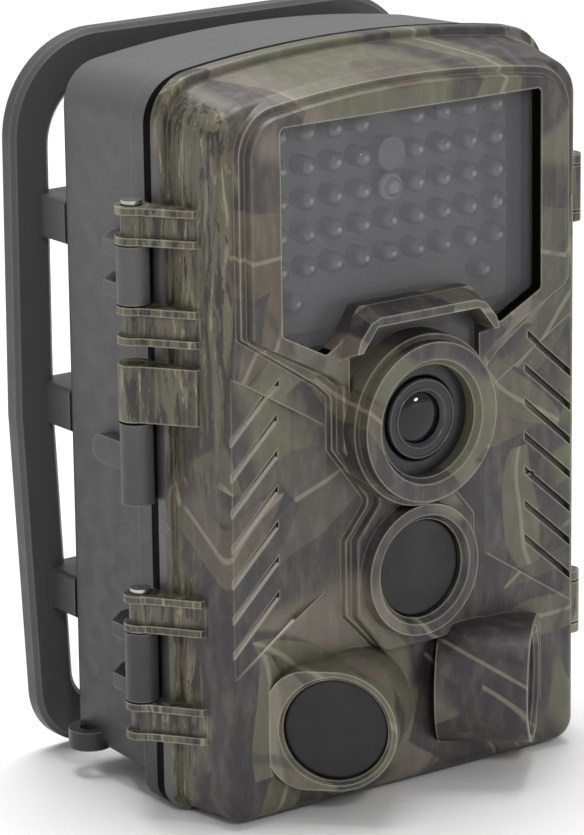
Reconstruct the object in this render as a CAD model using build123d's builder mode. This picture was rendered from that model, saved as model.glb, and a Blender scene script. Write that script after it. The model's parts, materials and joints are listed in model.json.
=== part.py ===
from build123d import *

import os
from math import cos, radians, sin

# Trail camera in two clamshell halves, millimetres.
# +X is the viewer's right when the lens faces the viewer, the lens looks along -Y, +Z is up.
# Y = 0 is the parting seam, Z = 0 is the surface that the camera stands on.

# ---------------------------------------------------------------- driving dimensions
WALL = 2.0
SEAM_GAP = 0.9
RIM_HALF_WIDTH = 43.0
RIM_TOP_MID = 137.7
ARCH_RISE = 3.9
RIM_DEPTH = 4.2
RIM_STEP = 1.4
FACE = 17.7
BEZEL = 20.4
FACE_WALL = 2.6
FACE_HALF_WIDTH = 39.6
FACE_TOP_MID = 133.6
ISLAND_HALF_WIDTH = 36.2
ISLAND_SHOULDER = 128.8
ISLAND_TOP_MID = 132.2
VALLEY_DEPTH = 1.1
VENT_PITCH = 6.5
VENT_COUNT = 7

REAR_HALF_WIDTH = 42.4
REAR_TOP_MID = 136.9
REAR_DEPTH = 30.2
REAR_BOTTOM = 4.5
FOOT_DEPTH = 5.0

WINDOW_HALF_WIDTH = 29.0
WINDOW_TOP = 127.0
WINDOW_SIDE_BOTTOM = 90.0
WINDOW_GLASS_FRONT = 17.4
LED_PITCH = 6.07
LED_COLUMNS = 9
LED_ROWS = 5
LED_TOP_ROW = 123.9
LED_RADIUS = 1.9
LED_BOARD_FRONT = 10.4

LENS_Z = 70.8
LENS_RING_FRONT = 25.4
LENS_OPENING = 10.4
PIR_Z = 42.7
PIR_RING_FRONT = 23.0
PIR_OPENING = 9.2
POD_X = 22.8
POD_Y = -26.0
POD_Z = 17.6
POD_ANGLE = 45.0
POD_RADIUS = 11.2
POD_OPENING = 9.5
POD_SHROUD = 12.5
POD_CORNER = 7.5

HINGE_X = -46.4
KNUCKLE_RADIUS = 3.1
HINGE_PIN_RADIUS = 1.4
RUNNING_CLEARANCE = 0.05
HINGE_GROUPS = ((88.0, 112.7), (15.0, 42.0))
LUG_HEIGHT = 6.8
GUSSET_HEIGHT = 2.8
LOCK_LUG = (74.0, 84.3)
LOCK_BARREL = (58.7, 73.5)
LOCK_BORE = 2.0

LATCH_X = 43.4
LATCH_Y = -10.6
LATCH_RADIUS = 2.3
LATCH_PIN_RADIUS = 1.0
LATCH_SPANS = ((99.0, 111.6), (19.4, 31.5))

BRACKET_BACK = 42.0
BRACKET_THICKNESS = 3.4
BRACKET_RIBS = (32.2, 68.0, 103.2)
BRACKET_RIB_HEIGHT = 8.0
BRACKET_RIB_X = 36.0
BRACKET_SCREW_SPOTS = [(side * BRACKET_RIB_X, z) for side in (-1, 1) for z in BRACKET_RIBS]

CELL_RADIUS = 7.15
CELL_LENGTH = 49.5
CELL_PITCH = 15.4
CELL_Y = 15.0

MAIN_BOARD_FRONT = 8.0
BOARD_THICKNESS = 1.6
INNER_COVER_FRONT = 2.6
INNER_COVER_BACK = 0.8
KEY_SPOTS = {
    "key_up": (16.0, 62.0),
    "key_left": (6.5, 52.5),
    "key_ok": (16.0, 52.5),
    "key_right": (25.5, 52.5),
    "key_down": (16.0, 43.0),
    "key_menu": (-4.5, 62.0),
}
KEY_RADIUS = 3.0
LCD_CENTRE = (0.0, 96.0)
KEY_STAND = 0.5
KEY_SWITCH_HEIGHT = 1.8
SWITCH_SPOT = (-20.0, 62.0)
SWITCH_SLOT = 12.4
CARD_X = -17.0
USB_X = 10.0
CONTACT_SPOTS = [(-10.5 + 7.0 * index, 123.0) for index in range(4)]
COVER_SCREW_SPOTS = [(-34.0, 120.0), (34.0, 120.0), (-34.0, 14.0), (34.0, 14.0)]
BOARD_SCREW_SPOTS = [(-33.4, 112.0), (33.4, 112.0), (-33.4, 30.0), (33.4, 30.0)]

LUG_FLANGE = 1.4
LATCH_EAR = 1.8
PART_GAP = 0.3
GLASS_THICKNESS = 1.5
LED_HEIGHT = 4.2
LENS_BARREL_LENGTH = 8.0
FILTER_HOUSING_DEPTH = 2.6
FILTER_SLOT = 1.2
SENSOR_HEIGHT = 0.8

TRAY_FLOOR = 13.5
BAY_LENGTH = 54.0
TRAY_WALL = 1.5
TRIPOD_Y = 15.0
TRIPOD_INSERT_RADIUS = 4.5
TRIPOD_THREAD_RADIUS = 2.6
TRIPOD_INSERT_LENGTH = 8.0
JACK_X = 24.0
JACK_BORE = 2.8
JACK_TOP = 13.0

os.makedirs("parts", exist_ok=True)


def finish(piece, name):
    """Label a finished piece and write it as one STEP file."""
    piece.part.label = name
    export_step(piece.part, f"parts/{name}.step")


def front_plane(depth):
    """Plane facing forward, at a distance in front of the seam; its x is X and its y is Z."""
    return Plane.XZ.offset(depth)


def case_outline(half_width, bottom, top_mid, top_radius=9.0, bottom_radius=5.0):
    """Outline of the case at one depth: straight sides, flat bottom, arched top."""
    shoulder = top_mid - ARCH_RISE
    with BuildSketch(mode=Mode.PRIVATE) as outline:
        with BuildLine():
            Line((-half_width, shoulder), (-half_width, bottom))
            Line((-half_width, bottom), (half_width, bottom))
            Line((half_width, bottom), (half_width, shoulder))
            ThreePointArc((half_width, shoulder), (0, top_mid), (-half_width, shoulder))
        make_face()
        fillet(outline.vertices().group_by(Axis.Y)[0], bottom_radius)
        fillet(outline.vertices().group_by(Axis.Y)[-1], top_radius)
    return outline.sketch


def mirrored_outline(right_half, radius=0.0):
    """Closed polygon from the points of its right half, listed from top to bottom."""
    left_half = [(-x, z) for x, z in reversed(right_half)]
    with BuildSketch(mode=Mode.PRIVATE) as outline:
        with BuildLine():
            Polyline(*right_half, *left_half, close=True)
        make_face()
        if radius:
            fillet(outline.vertices(), radius)
    return outline.sketch


def pod_plane(side, along=0.0):
    """Plane of a side sensor's window, facing outward, moved back along its axis by along."""
    normal = Vector(side * sin(radians(POD_ANGLE)), -cos(radians(POD_ANGLE)), 0)
    centre = Vector(side * POD_X, POD_Y, POD_Z) - normal * along
    return Plane(origin=centre, x_dir=(0, 0, 1), z_dir=normal)


def lens_plane(depth):
    return Plane(origin=(0, -depth, LENS_Z), x_dir=(1, 0, 0), z_dir=(0, -1, 0))


def pir_plane(depth):
    return Plane(origin=(0, -depth, PIR_Z), x_dir=(1, 0, 0), z_dir=(0, -1, 0))


def arm_outline(side, pivot_x, pivot_y, radius, wall_x, front_y, back_y):
    """Knuckle round a vertical pivot with an arm that tapers into the case's side wall."""
    outer = pivot_x + side * radius
    with BuildSketch(mode=Mode.PRIVATE) as arm:
        with Locations((pivot_x, pivot_y)):
            Circle(radius)
        with BuildLine():
            Polyline(
                (outer, pivot_y),
                (wall_x + side * 1.6, front_y),
                (wall_x, front_y),
                (wall_x, back_y),
                (pivot_x, back_y),
                close=True,
            )
        make_face()
    return arm.sketch


def bracket_outline(right_half, top_radius, bottom_radius):
    """Outline of the tree bracket: rounded top corners and a slightly narrower foot."""
    with BuildSketch(mode=Mode.PRIVATE) as outline:
        with BuildLine():
            Polyline(*right_half, *[(-x, z) for x, z in reversed(right_half)], close=True)
        make_face()
        fillet(outline.vertices().group_by(Axis.Y)[0], bottom_radius)
        fillet(outline.vertices().group_by(Axis.Y)[-1], top_radius)
    return outline.sketch


def island_outline(grow):
    """Outline of the raised island round the lamp window, the lens and the middle sensor."""
    side = ISLAND_HALF_WIDTH + grow
    shoulder = ISLAND_SHOULDER + grow
    lower_points = [
        (side, 90.0),
        (19.5 + grow, 80.3 - grow),
        (17.0 + grow, 78.0 - grow),
        (17.0 + grow, 67.0),
        (8.8 + grow, 56.4),
        (14.1 + grow, 50.0),
        (14.1 + grow, 35.5),
        (7.6 + grow / 2, 28.0),
    ]
    left_points = [(-x, z) for x, z in reversed(lower_points)]
    with BuildSketch(mode=Mode.PRIVATE) as outline:
        with BuildLine():
            Polyline((side, shoulder), *lower_points, *left_points, (-side, shoulder))
            ThreePointArc((-side, shoulder), (0, ISLAND_TOP_MID + grow), (side, shoulder))
        make_face()
        fillet(outline.vertices().filter_by_position(Axis.Y, 0, 120), 1.3)
        fillet(outline.vertices().group_by(Axis.Y)[-1], 8.0 + grow)
    return outline.sketch


rim = case_outline(RIM_HALF_WIDTH, 0.0, RIM_TOP_MID)
step = case_outline(RIM_HALF_WIDTH - RIM_STEP, 0.5, RIM_TOP_MID - RIM_STEP, 8.0, 4.5)
face = case_outline(FACE_HALF_WIDTH, 0.8, FACE_TOP_MID, 7.0, 4.0)
rim_inside = case_outline(RIM_HALF_WIDTH - RIM_STEP - WALL, 7.0, RIM_TOP_MID - RIM_STEP - WALL, 6.5, 3.0)
face_inside = case_outline(FACE_HALF_WIDTH - WALL, 5.0, FACE_TOP_MID - WALL, 5.5, 2.5)

inner_outline = case_outline(
    RIM_HALF_WIDTH - RIM_STEP - WALL - 0.9, 7.6, RIM_TOP_MID - RIM_STEP - WALL - 0.9, 5.8, 2.6
)
lug_arm = arm_outline(-1, HINGE_X, 0.0, KNUCKLE_RADIUS, -39.8, -11.5, -0.6)
latch_ear = arm_outline(1, LATCH_X, LATCH_Y, LATCH_RADIUS, 39.4, -13.6, -8.0)

bezel = island_outline(0.0)
bezel_step = island_outline(1.3)
bezel_front = island_outline(-1.1)
window_points = [
    (WINDOW_HALF_WIDTH, WINDOW_TOP),
    (WINDOW_HALF_WIDTH, WINDOW_SIDE_BOTTOM),
    (19.5, 85.2),
    (16.6, 87.0),
    (12.6, 93.0),
]
window = mirrored_outline(window_points, 1.0)
window_seat = mirrored_outline(
    [(WINDOW_HALF_WIDTH + 2.0, WINDOW_TOP + 2.0), (WINDOW_HALF_WIDTH + 2.0, 84.0)], 2.0
)
hood_front = mirrored_outline([(10.6, 91.5), (12.8, 90.7), (15.2, 87.8), (15.9, 85.6)])
hood_back = mirrored_outline([(11.0, 94.3), (13.4, 93.3), (16.6, 89.2), (17.6, 82.4)])
hood_hollow = mirrored_outline([(11.4, 89.9), (14.6, 85.8), (14.6, 66.0)])

# ---------------------------------------------------------------- front half
with BuildPart() as front_shell:
    # rim band that meets the rear half
    with BuildSketch(front_plane(0)):
        add(rim)
    extrude(amount=RIM_DEPTH)
    fillet(front_shell.faces().sort_by(Axis.Y)[0].edges(), 0.9)
    # drafted side walls up to the face
    with BuildSketch(front_plane(RIM_DEPTH - 1.0)):
        add(step)
    with BuildSketch(front_plane(FACE)):
        add(face)
    loft(ruled=True)
    fillet(front_shell.faces().sort_by(Axis.Y)[0].edges(), 2.4)
    # shallow valleys beside the sensors: each slopes in from the case's edge
    for side in (-1, 1):
        with BuildPart(mode=Mode.PRIVATE) as valley:
            with BuildSketch(Plane.XY.offset(20)):
                with BuildLine():
                    Polyline(
                        (side * 40.2, -FACE - 3.0),
                        (side * 40.2, -FACE),
                        (side * 24.0, -FACE + VALLEY_DEPTH),
                        (side * 18.0, -FACE),
                        (side * 18.0, -FACE - 3.0),
                        close=True,
                    )
                make_face()
            extrude(amount=70)
            with BuildSketch(front_plane(FACE - 3.0)):
                with BuildLine():
                    Polyline(
                        (side * 40.2, 84.5),
                        (side * 23.4, 74.7),
                        (side * 17.0, 71.0),
                        (side * 17.0, 42.0),
                        (side * 23.4, 38.0),
                        (side * 40.2, 27.0),
                        close=True,
                    )
                make_face()
            extrude(amount=7.0, mode=Mode.INTERSECT)
        add(valley.part, mode=Mode.SUBTRACT)
    # raised island round the lamp window, the lens and the middle sensor, with a step round it
    with BuildSketch(front_plane(FACE - 1.0)):
        add(bezel_step)
    extrude(amount=2.1, taper=20)
    with BuildSketch(front_plane(FACE - 1.0)):
        add(bezel)
    with BuildSketch(front_plane(BEZEL)):
        add(bezel_front)
    loft(ruled=True)
    fillet(front_shell.faces().sort_by(Axis.Y)[0].edges(), 0.5)
    # eyebrow hood over the lens
    with BuildSketch(front_plane(WINDOW_GLASS_FRONT - 1.0)):
        add(hood_back)
    with BuildSketch(front_plane(LENS_RING_FRONT - 0.7)):
        add(hood_front)
    loft(ruled=True)
    with BuildSketch(front_plane(BEZEL - 1.6)):
        add(hood_hollow)
    extrude(amount=10.0, mode=Mode.SUBTRACT)
    # lens ring: a wide collar and a narrower lip
    with BuildSketch(lens_plane(FACE - 1.0)):
        Circle(16.2)
    extrude(amount=LENS_RING_FRONT - FACE - 1.2, taper=4)
    with BuildSketch(lens_plane(FACE)):
        Circle(14.9)
    extrude(amount=LENS_RING_FRONT - FACE, taper=2)
    # middle sensor ring
    with BuildSketch(pir_plane(FACE - 1.0)):
        Circle(12.9)
    extrude(amount=PIR_RING_FRONT - FACE + 1.0, taper=6)
    # side sensor pods, each with a shroud that runs out into the face
    for side in (-1, 1):
        with BuildSketch(pod_plane(side)):
            Circle(POD_RADIUS)
        extrude(amount=-17.0, taper=-2)
        with BuildSketch(pod_plane(side)):
            with Locations((0, -side * (POD_SHROUD - POD_CORNER) / 2)):
                RectangleRounded(2 * POD_RADIUS, POD_SHROUD + POD_CORNER, POD_CORNER)
        extrude(amount=-12.0)
    # no pod reaches behind the seam
    with BuildSketch(front_plane(-20)):
        Rectangle(200, 400)
    extrude(amount=20, mode=Mode.SUBTRACT)
    # hollow inside
    with BuildSketch(front_plane(0)):
        add(rim_inside)
    with BuildSketch(front_plane(FACE - FACE_WALL)):
        add(face_inside)
    loft(ruled=True, mode=Mode.SUBTRACT)
    # window opening and the seat that its pane is bonded into from behind
    with BuildSketch(front_plane(0)):
        add(window)
    extrude(amount=BEZEL + 1.0, mode=Mode.SUBTRACT)
    with BuildSketch(front_plane(0)):
        add(window_seat)
    extrude(amount=WINDOW_GLASS_FRONT, mode=Mode.SUBTRACT)
    # stepped bores for the lens and the sensors
    for plane, opening, reach in (
        (lens_plane(LENS_RING_FRONT), LENS_OPENING, LENS_RING_FRONT),
        (pir_plane(PIR_RING_FRONT), PIR_OPENING, PIR_RING_FRONT),
    ):
        with BuildSketch(plane):
            Circle(opening + 1.0)
        extrude(amount=-1.2, taper=38, mode=Mode.SUBTRACT)
        with BuildSketch(plane):
            Circle(opening)
        extrude(amount=-reach, mode=Mode.SUBTRACT)
    for side in (-1, 1):
        with BuildSketch(pod_plane(side)):
            Circle(POD_OPENING + 0.7)
        extrude(amount=-0.9, taper=36, mode=Mode.SUBTRACT)
        with BuildSketch(pod_plane(side)):
            Circle(POD_OPENING)
        extrude(amount=-15.0, mode=Mode.SUBTRACT)
    # screw bosses for the main board and the inner cover
    for spots, boss, pilot, depth in (
        (BOARD_SCREW_SPOTS, 2.2, 1.4, MAIN_BOARD_FRONT),
        (COVER_SCREW_SPOTS, 2.6, 1.5, INNER_COVER_FRONT),
    ):
        with BuildSketch(front_plane(depth)):
            with Locations(*spots):
                Circle(boss)
        extrude(amount=FACE - 1.0 - depth)
        with BuildSketch(front_plane(depth)):
            with Locations(*spots):
                Circle(pilot)
        extrude(amount=5.0, mode=Mode.SUBTRACT)
    # slanted vent grooves beside the sensors
    for side in (-1, 1):
        for index in range(VENT_COUNT):
            low = 32.2 + VENT_PITCH * index
            with BuildSketch(front_plane(FACE)):
                with BuildLine():
                    Polyline(
                        (side * 38.4, low),
                        (side * 28.0, low + 9.2),
                        (side * 28.0, low + 10.6),
                        (side * 38.4, low + 1.4),
                        close=True,
                    )
                make_face()
            extrude(amount=-1.6, mode=Mode.SUBTRACT)
    # microphone hole
    with BuildSketch(front_plane(FACE + 1.0)):
        with Locations((29.6, 54.0)):
            Circle(0.6)
    extrude(amount=-6.0, mode=Mode.SUBTRACT)
    # hinge lugs with a web set back between two flanges, and the plain lock lug
    for low, high in HINGE_GROUPS:
        for base in (low, high - LUG_HEIGHT):
            with BuildSketch(Plane.XY.offset(base)):
                add(lug_arm)
            extrude(amount=LUG_HEIGHT)
            with BuildSketch(Plane.XY.offset(base + LUG_FLANGE)):
                add(lug_arm)
                add(lug_arm.moved(Location((1.2, 0, 0))), mode=Mode.SUBTRACT)
            extrude(amount=LUG_HEIGHT - 2 * LUG_FLANGE, mode=Mode.SUBTRACT)
            with BuildSketch(Plane.XY.offset(base)):
                with Locations((HINGE_X, 0)):
                    Circle(HINGE_PIN_RADIUS + RUNNING_CLEARANCE)
            extrude(amount=LUG_HEIGHT, mode=Mode.SUBTRACT)
    with BuildSketch(Plane.XY.offset(LOCK_LUG[0])):
        add(lug_arm)
    extrude(amount=LOCK_LUG[1] - LOCK_LUG[0])
    with BuildSketch(Plane.XY.offset(LOCK_LUG[0])):
        with Locations((HINGE_X, 0)):
            Circle(LOCK_BORE)
    extrude(amount=LOCK_LUG[1] - LOCK_LUG[0], mode=Mode.SUBTRACT)
    # ears that carry the latch pins
    for low, high in LATCH_SPANS:
        for base in (low, high - LATCH_EAR):
            with BuildSketch(Plane.XY.offset(base)):
                add(latch_ear)
            extrude(amount=LATCH_EAR)
            with BuildSketch(Plane.XY.offset(base)):
                with Locations((LATCH_X, LATCH_Y)):
                    Circle(LATCH_PIN_RADIUS)
            extrude(amount=LATCH_EAR, mode=Mode.SUBTRACT)
finish(front_shell, "front_shell")

with BuildPart() as led_window:
    with BuildSketch(front_plane(WINDOW_GLASS_FRONT - GLASS_THICKNESS)):
        add(window_seat)
        offset(amount=-0.1, mode=Mode.REPLACE)
    extrude(amount=GLASS_THICKNESS)
finish(led_window, "led_window")

# five rows of lamps round a gap for the light sensor, and a staggered last row beside the hood
led_spots = [
    (LED_PITCH * (column - LED_COLUMNS // 2), LED_TOP_ROW - LED_PITCH * row)
    for row in range(LED_ROWS)
    for column in range(LED_COLUMNS)
    if column != LED_COLUMNS // 2 or row > 2
] + [(LED_PITCH * column, LED_TOP_ROW - LED_PITCH * LED_ROWS) for column in (-3.5, 3.5)]

with BuildPart() as led_board:
    with BuildSketch(front_plane(LED_BOARD_FRONT - BOARD_THICKNESS)):
        with Locations((0, 107.4)):
            RectangleRounded(60.0, 43.0, 2.0)
    extrude(amount=BOARD_THICKNESS)
finish(led_board, "led_board")

with BuildPart() as ir_leds:
    with BuildSketch(front_plane(LED_BOARD_FRONT)):
        with Locations(*led_spots):
            Circle(LED_RADIUS)
    extrude(amount=LED_HEIGHT)
    fillet(ir_leds.faces().filter_by(Axis.Y).group_by(Axis.Y)[0].edges(), LED_RADIUS - 0.25)
finish(ir_leds, "ir_leds")

with BuildPart() as light_sensor:
    with BuildSketch(front_plane(LED_BOARD_FRONT)):
        with Locations((0, LED_TOP_ROW - 1.0 * LED_PITCH)):
            Circle(3.0)
    extrude(amount=3.6)
finish(light_sensor, "light_sensor")

with BuildPart() as status_led:
    with BuildSketch(front_plane(LED_BOARD_FRONT)):
        with Locations((0, LED_TOP_ROW - 2.0 * LED_PITCH)):
            Circle(2.5)
    extrude(amount=4.4)
    fillet(status_led.faces().sort_by(Axis.Y)[0].edges(), 2.2)
finish(status_led, "status_led")

with BuildPart() as window_gasket:
    with BuildSketch(front_plane(LED_BOARD_FRONT + 0.2)):
        with Locations((0, 107.4)):
            RectangleRounded(60.0, 43.0, 2.0)
            RectangleRounded(57.4, 40.4, 1.6, mode=Mode.SUBTRACT)
    extrude(amount=WINDOW_GLASS_FRONT - GLASS_THICKNESS - LED_BOARD_FRONT - 0.3)
finish(window_gasket, "window_gasket")

# lens module on one axis: cover ring, barrel, glasses, filter housing and sensor
with BuildPart() as lens_trim:
    with BuildSketch(lens_plane(LENS_RING_FRONT - 3.6)):
        Circle(LENS_OPENING - 0.05)
        Circle(7.6, mode=Mode.SUBTRACT)
    extrude(amount=-2.0)
    fillet(lens_trim.edges().filter_by(GeomType.CIRCLE).group_by(Axis.Y)[0].sort_by(SortBy.RADIUS)[0], 0.7)
finish(lens_trim, "lens_trim")

with BuildPart() as lens_barrel:
    with BuildSketch(lens_plane(LENS_RING_FRONT - 3.2)):
        Circle(7.4)
        Circle(5.2, mode=Mode.SUBTRACT)
    extrude(amount=-LENS_BARREL_LENGTH)
    fillet(lens_barrel.faces().sort_by(Axis.Y)[0].edges(), 0.5)
finish(lens_barrel, "lens_barrel")

for name, radius, front, thickness, crown in (
    ("front_lens", 5.1, 3.9, 1.8, 0.9),
    ("rear_lens", 5.1, 7.4, 1.6, 0.5),
):
    with BuildPart() as element:
        with BuildSketch(lens_plane(LENS_RING_FRONT - front)):
            Circle(radius)
        extrude(amount=-thickness)
        fillet(element.faces().sort_by(Axis.Y)[0].edges(), crown)
    finish(element, name)

with BuildPart() as aperture_ring:
    with BuildSketch(lens_plane(LENS_RING_FRONT - 6.0)):
        Circle(5.1)
        Circle(1.6, mode=Mode.SUBTRACT)
    extrude(amount=-1.0)
finish(aperture_ring, "aperture_ring")

filter_top = LENS_RING_FRONT - 3.2 - LENS_BARREL_LENGTH
with BuildPart() as filter_housing:
    with BuildSketch(lens_plane(filter_top - 0.1)):
        with Locations((3.0, 0)):
            RectangleRounded(26.0, 16.0, 1.5)
        Circle(4.0, mode=Mode.SUBTRACT)
    extrude(amount=-FILTER_HOUSING_DEPTH)
    with BuildSketch(lens_plane(filter_top - 0.1 - (FILTER_HOUSING_DEPTH - FILTER_SLOT) / 2)):
        with Locations((3.0, 0)):
            Rectangle(19.0, 10.6)
    extrude(amount=-FILTER_SLOT, mode=Mode.SUBTRACT)
finish(filter_housing, "filter_housing")

with BuildPart() as ir_filter:
    with BuildSketch(lens_plane(filter_top - 0.1 - FILTER_HOUSING_DEPTH / 2 - 0.4)):
        with Locations((-0.7, 0)):
            RectangleRounded(10.0, 9.8, 0.6)
    extrude(amount=0.8)
finish(ir_filter, "ir_filter")

sensor_front = filter_top - 0.2 - FILTER_HOUSING_DEPTH
with BuildPart() as image_sensor:
    with BuildSketch(lens_plane(sensor_front)):
        Rectangle(9.0, 7.0)
    extrude(amount=-SENSOR_HEIGHT)
finish(image_sensor, "image_sensor")

with BuildPart() as sensor_board:
    with BuildSketch(lens_plane(sensor_front - SENSOR_HEIGHT)):
        with Locations((3.0, 0)):
            RectangleRounded(26.0, 17.0, 1.0)
    extrude(amount=-1.0)
finish(sensor_board, "sensor_board")

# domed windows over the three motion sensors, and the sensors behind them
pir_places = (
    ("pir_window_middle", pir_plane(PIR_RING_FRONT - 2.0), PIR_OPENING),
    ("pir_window_left", pod_plane(-1, 1.5), POD_OPENING),
    ("pir_window_right", pod_plane(1, 1.5), POD_OPENING),
)
for name, plane, opening in pir_places:
    with BuildPart() as pane:
        with BuildSketch(plane):
            Circle(opening - 0.05)
        extrude(amount=-1.8)
        with BuildSketch(plane.offset(-1.0)):
            Circle(opening - 1.2)
        extrude(amount=-0.8, mode=Mode.SUBTRACT)
        front_rim = pane.edges().filter_by(GeomType.CIRCLE).sort_by(
            lambda edge: (edge.arc_center - plane.origin).dot(plane.z_dir)
        )[-1]
        fillet(front_rim, 0.7)
    finish(pane, name)

with BuildPart() as pir_sensors:
    for plane, depth in ((pir_places[0][1], 5.0), (pir_places[1][1], 5.4), (pir_places[2][1], 5.4)):
        with BuildSketch(plane.offset(-depth)):
            Circle(4.6)
        extrude(amount=-0.5)
        with BuildSketch(plane.offset(-depth + 3.6)):
            Circle(4.0)
        extrude(amount=-3.6)
finish(pir_sensors, "pir_sensors")

with BuildPart() as pir_boards:
    for plane, depth in ((pir_places[0][1], 5.6), (pir_places[1][1], 6.0), (pir_places[2][1], 6.0)):
        with BuildSketch(plane.offset(-depth)):
            Circle(7.2)
        extrude(amount=-1.2)
finish(pir_boards, "pir_boards")

with BuildPart() as main_board:
    with BuildSketch(front_plane(MAIN_BOARD_FRONT - BOARD_THICKNESS)):
        with Locations((0, 67.5)):
            RectangleRounded(72.0, 117.0, 3.0)
        with Locations(*BOARD_SCREW_SPOTS):
            Circle(1.6, mode=Mode.SUBTRACT)
        with Locations(*COVER_SCREW_SPOTS):
            Circle(3.0, mode=Mode.SUBTRACT)
    extrude(amount=BOARD_THICKNESS)
finish(main_board, "main_board")

with BuildPart() as board_screws:
    with BuildSketch(front_plane(MAIN_BOARD_FRONT - BOARD_THICKNESS)):
        with Locations(*BOARD_SCREW_SPOTS):
            Circle(2.6)
    extrude(amount=-1.2)
    with BuildSketch(front_plane(MAIN_BOARD_FRONT - BOARD_THICKNESS)):
        with Locations(*BOARD_SCREW_SPOTS):
            Circle(1.4)
    extrude(amount=5.0)
finish(board_screws, "board_screws")

with BuildPart() as processor:
    with BuildSketch(front_plane(MAIN_BOARD_FRONT)):
        with Locations((25.0, 76.0)):
            RectangleRounded(14.0, 14.0, 0.6)
        with Locations((25.0, 62.0)):
            RectangleRounded(9.0, 12.0, 0.4)
    extrude(amount=1.2)
finish(processor, "processor_chips")

with BuildPart() as speaker:
    with BuildSketch(front_plane(FACE - FACE_WALL - 5.2)):
        with Locations((-25.0, 56.0)):
            Circle(9.0)
    extrude(amount=3.4)
    with BuildSketch(front_plane(FACE - FACE_WALL - 1.8)):
        with Locations((-25.0, 56.0)):
            Circle(7.4)
    extrude(amount=1.2, taper=25)
finish(speaker, "speaker")

with BuildPart() as microphone:
    with BuildSketch(front_plane(FACE - FACE_WALL - 2.4)):
        with Locations((29.6, 54.0)):
            Circle(2.6)
    extrude(amount=2.2)
finish(microphone, "microphone")

# screen, keys, card and sockets behind the inner cover
with BuildPart() as lcd_panel:
    with BuildSketch(front_plane(INNER_COVER_FRONT + 0.2)):
        with Locations(LCD_CENTRE):
            RectangleRounded(56.0, 44.0, 1.0)
    extrude(amount=MAIN_BOARD_FRONT - BOARD_THICKNESS - INNER_COVER_FRONT - 0.4)
finish(lcd_panel, "lcd_panel")

with BuildPart() as inner_cover:
    with BuildSketch(front_plane(INNER_COVER_BACK)):
        add(inner_outline)
    extrude(amount=INNER_COVER_FRONT - INNER_COVER_BACK)
    with BuildSketch(front_plane(INNER_COVER_BACK)):
        with Locations(LCD_CENTRE):
            RectangleRounded(50.4, 38.4, 2.0)
        for spot in KEY_SPOTS.values():
            with Locations(spot):
                Circle(KEY_RADIUS + 0.35)
        with Locations(SWITCH_SPOT):
            SlotOverall(SWITCH_SLOT, 3.4)
        with Locations((CARD_X, 19.5)):
            RectangleRounded(26.0, 18.0, 2.0)
        with Locations((USB_X, 19.5)):
            RectangleRounded(18.0, 10.0, 2.0)
        with Locations(*CONTACT_SPOTS):
            Circle(2.3)
        with Locations(*COVER_SCREW_SPOTS):
            Circle(1.7)
    extrude(amount=INNER_COVER_FRONT - INNER_COVER_BACK, mode=Mode.SUBTRACT)
finish(inner_cover, "inner_cover")

with BuildPart() as cover_screws:
    with BuildSketch(front_plane(INNER_COVER_BACK)):
        with Locations(*COVER_SCREW_SPOTS):
            Circle(2.7)
    extrude(amount=-0.5)
    with BuildSketch(front_plane(INNER_COVER_BACK)):
        with Locations(*COVER_SCREW_SPOTS):
            Circle(1.5)
    extrude(amount=4.0)
finish(cover_screws, "cover_screws")

with BuildPart() as lcd_window:
    with BuildSketch(front_plane(INNER_COVER_BACK + 0.2)):
        with Locations(LCD_CENTRE):
            RectangleRounded(50.2, 38.2, 1.9)
    extrude(amount=INNER_COVER_FRONT - INNER_COVER_BACK - 0.4)
finish(lcd_window, "lcd_window")

for name, spot in KEY_SPOTS.items():
    with BuildPart() as key:
        with BuildSketch(front_plane(INNER_COVER_FRONT + 0.2)):
            with Locations(spot):
                Circle(KEY_RADIUS + 1.0)
        extrude(amount=0.7)
        with BuildSketch(front_plane(INNER_COVER_FRONT + 0.2)):
            with Locations(spot):
                Circle(KEY_RADIUS)
        extrude(amount=-(INNER_COVER_FRONT + 0.2 + KEY_STAND))
        fillet(key.faces().sort_by(Axis.Y)[-1].edges(), 0.6)
    finish(key, name)

with BuildPart() as key_switches:
    with BuildSketch(front_plane(MAIN_BOARD_FRONT - BOARD_THICKNESS)):
        with Locations(*KEY_SPOTS.values()):
            RectangleRounded(4.6, 4.6, 0.3)
    extrude(amount=-KEY_SWITCH_HEIGHT)
finish(key_switches, "key_switches")

with BuildPart() as power_switch:
    with BuildSketch(front_plane(INNER_COVER_FRONT + 0.3)):
        with Locations(SWITCH_SPOT):
            RectangleRounded(6.0, 5.0, 0.5)
    extrude(amount=1.2)
    with BuildSketch(front_plane(INNER_COVER_FRONT + 0.4)):
        with Locations(SWITCH_SPOT):
            RectangleRounded(3.0, 2.8, 0.5)
    extrude(amount=-(INNER_COVER_FRONT + 0.4 + KEY_STAND))
finish(power_switch, "power_switch")

with BuildPart() as card_slot:
    with BuildSketch(front_plane(INNER_COVER_FRONT + 0.2)):
        with Locations((CARD_X, 42.0)):
            Rectangle(27.0, 27.0)
    extrude(amount=MAIN_BOARD_FRONT - BOARD_THICKNESS - INNER_COVER_FRONT - 0.3)
    with BuildSketch(front_plane(INNER_COVER_FRONT + 0.6)):
        with Locations((CARD_X, 41.0)):
            Rectangle(24.8, 27.0)
    extrude(amount=2.7, mode=Mode.SUBTRACT)
finish(card_slot, "card_slot")

with BuildPart() as memory_card:
    with BuildSketch(front_plane(INNER_COVER_FRONT + 0.9)) as memory_card_face:
        with Locations((CARD_X, 37.9)):
            Rectangle(24.0, 32.0)
        chamfer(memory_card_face.vertices().sort_by(Axis.Y)[-1], 3.6)
    extrude(amount=2.1)
finish(memory_card, "memory_card")

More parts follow.
